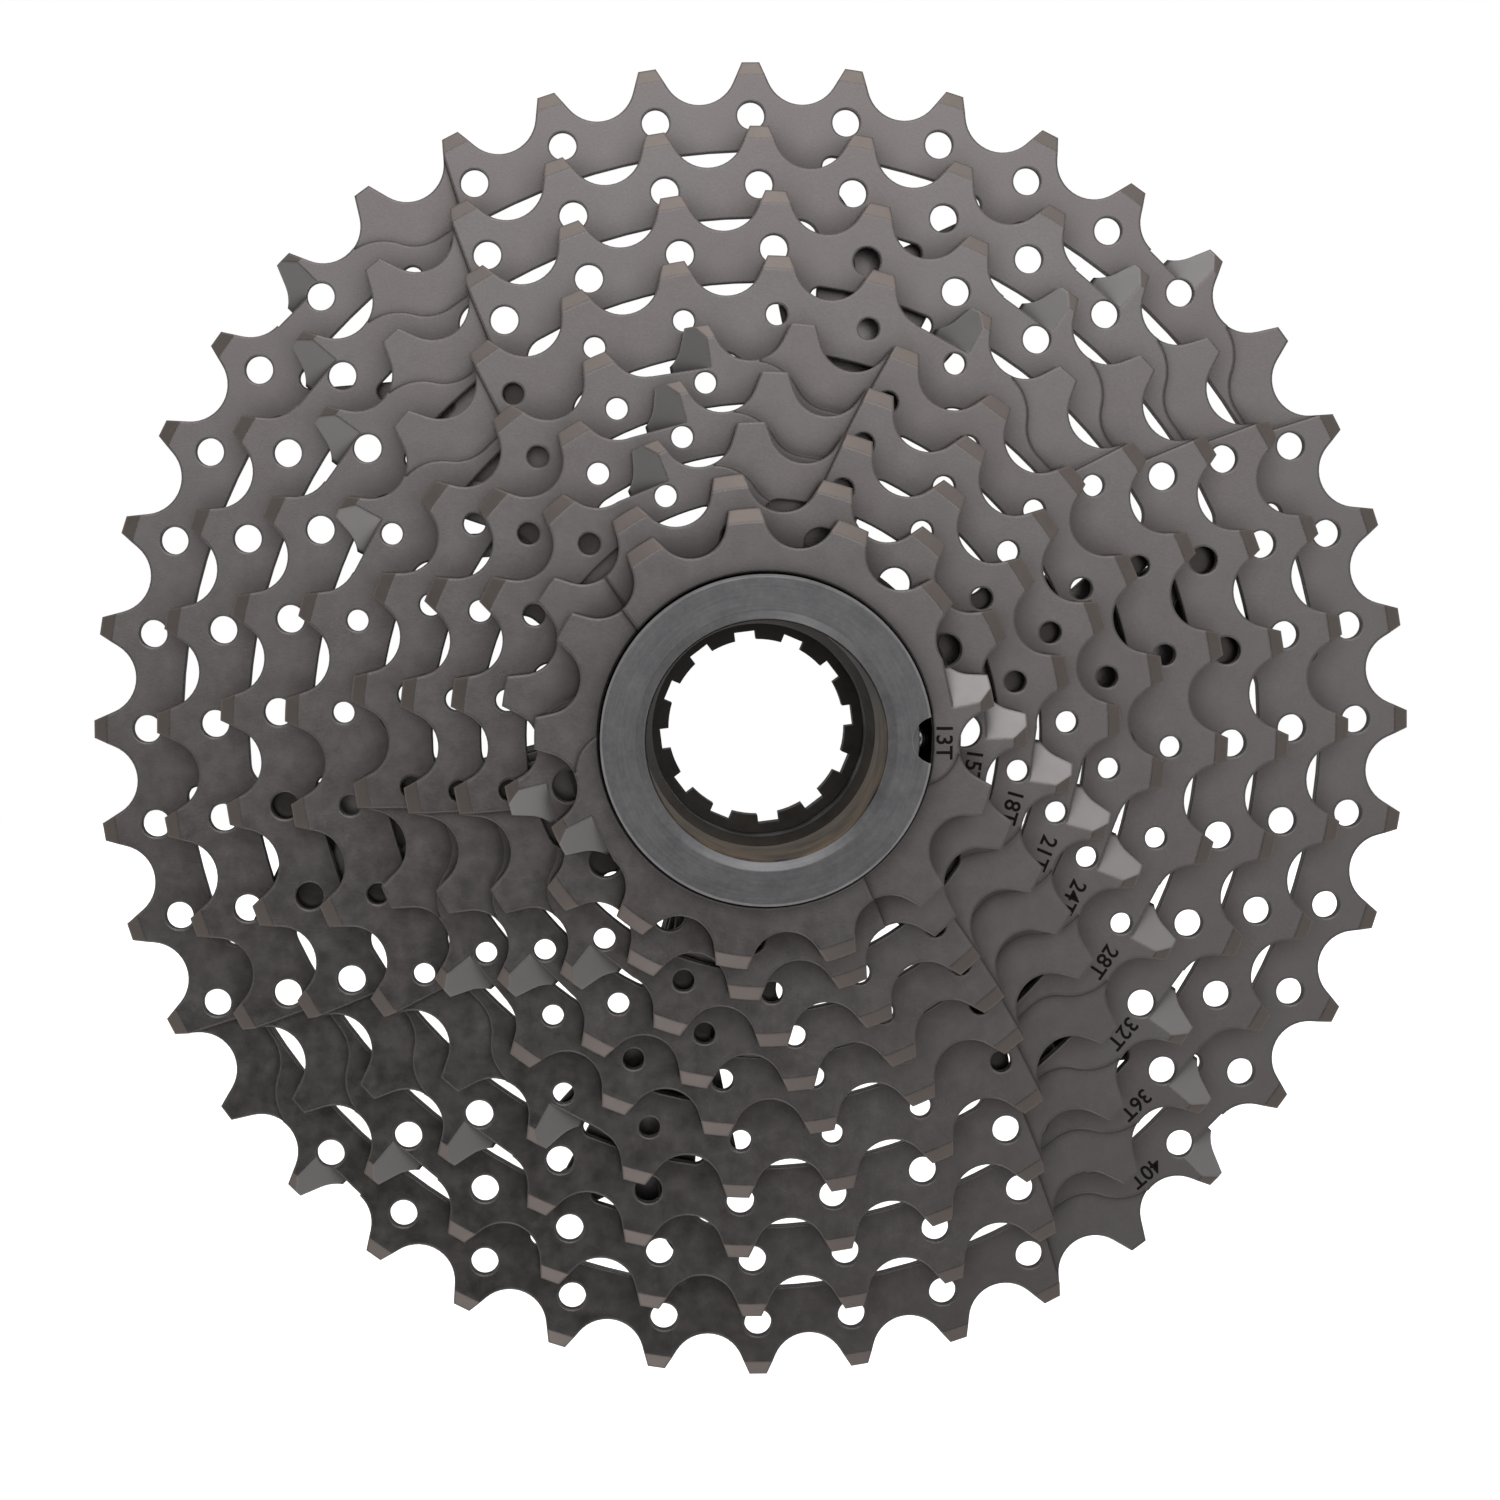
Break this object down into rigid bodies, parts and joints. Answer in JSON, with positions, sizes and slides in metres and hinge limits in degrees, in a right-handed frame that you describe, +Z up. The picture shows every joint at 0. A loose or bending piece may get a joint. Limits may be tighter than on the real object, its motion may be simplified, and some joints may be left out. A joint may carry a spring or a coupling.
{
  "type": "bicycle sprocket cluster",
  "caption": "Stack of toothed steel sprockets of falling size on a splined one-way freewheel body with a threaded core, open window cut-outs between forked arms.",
  "frame": {"origin": "centre of the hub shoulder plane, where the spin axis crosses the wheel-side face", "axes": "-Y along the spin axis from the wheel side to the smallest sprocket, +Z up, +X to the right seen from the smallest sprocket"},
  "size_m": [0.1642, 0.043, 0.1642],
  "materials": {
    "sprocket_steel": "satin dark nickel plate",
    "spacer_aluminium": "dark anodised",
    "body_steel": "satin black oxide",
    "core_steel": "oiled machined steel",
    "cone_steel": "fine turned",
    "shim_steel": "bright",
    "seal_plastic": "matt",
    "ball_steel": "polished",
    "pawl_steel": "hardened",
    "spring_steel": "bright"
  },
  "bodies": {
    "core": {"inner_body": "core_steel", "bearing_cone": "cone_steel", "cone_shim_1": "shim_steel", "cone_shim_2": "shim_steel", "pawl_spring_1": "spring_steel", "pawl_spring_2": "spring_steel", "pawl_spring_3": "spring_steel"},
    "sprocket_carrier": {"outer_shell": "body_steel", "rear_seal": "seal_plastic", "sprocket_40": "sprocket_steel", "sprocket_36": "sprocket_steel", "sprocket_32": "sprocket_steel", "sprocket_28": "sprocket_steel", "sprocket_24": "sprocket_steel", "sprocket_21": "sprocket_steel", "sprocket_18": "sprocket_steel", "sprocket_15": "sprocket_steel", "sprocket_13": "sprocket_steel", "spacer_40_36": "spacer_aluminium", "spacer_36_32": "spacer_aluminium", "spacer_32_28": "spacer_aluminium", "spacer_28_24": "spacer_aluminium", "spacer_24_21": "spacer_aluminium", "spacer_21_18": "spacer_aluminium", "spacer_18_15": "spacer_aluminium"},
    "rear_ball_row": {"rear_balls": "ball_steel"},
    "front_ball_row": {"front_balls": "ball_steel"},
    "pawl_arm_1": {"pawl_1": "pawl_steel"},
    "pawl_arm_2": {"pawl_2": "pawl_steel"},
    "pawl_arm_3": {"pawl_3": "pawl_steel"}
  },
  "joints": [
    {"name": "freewheel_spin", "type": "hinge", "parent": "core", "child": "sprocket_carrier", "pos_m": [0, 0, 0], "axis": [0, 1, 0], "continuous": true},
    {"name": "rear_ball_orbit", "type": "hinge", "parent": "core", "child": "rear_ball_row", "pos_m": [0, -0.0028, 0], "axis": [0, 1, 0], "continuous": true},
    {"name": "front_ball_orbit", "type": "hinge", "parent": "core", "child": "front_ball_row", "pos_m": [0, -0.038, 0], "axis": [0, 1, 0], "continuous": true},
    {"name": "pawl_1_swing", "type": "hinge", "parent": "core", "child": "pawl_arm_1", "pos_m": [0.0169, -0.024, 0], "axis": [0, 1, 0], "range_deg": [0, 10], "stiffness_Nm_per_rad": 0.002, "springref_deg": 20.05},
    {"name": "pawl_2_swing", "type": "hinge", "parent": "core", "child": "pawl_arm_2", "pos_m": [-0.00845, -0.024, 0.01464], "axis": [0, 1, 0], "range_deg": [0, 10], "stiffness_Nm_per_rad": 0.002, "springref_deg": 20.05},
    {"name": "pawl_3_swing", "type": "hinge", "parent": "core", "child": "pawl_arm_3", "pos_m": [-0.00845, -0.024, -0.01464], "axis": [0, 1, 0], "range_deg": [0, 10], "stiffness_Nm_per_rad": 0.002, "springref_deg": 20.05}
  ],
  "couplings": [
    {"joint": "rear_ball_orbit", "follows": "freewheel_spin", "ratio": 0.528},
    {"joint": "front_ball_orbit", "follows": "freewheel_spin", "ratio": 0.531}
  ]
}
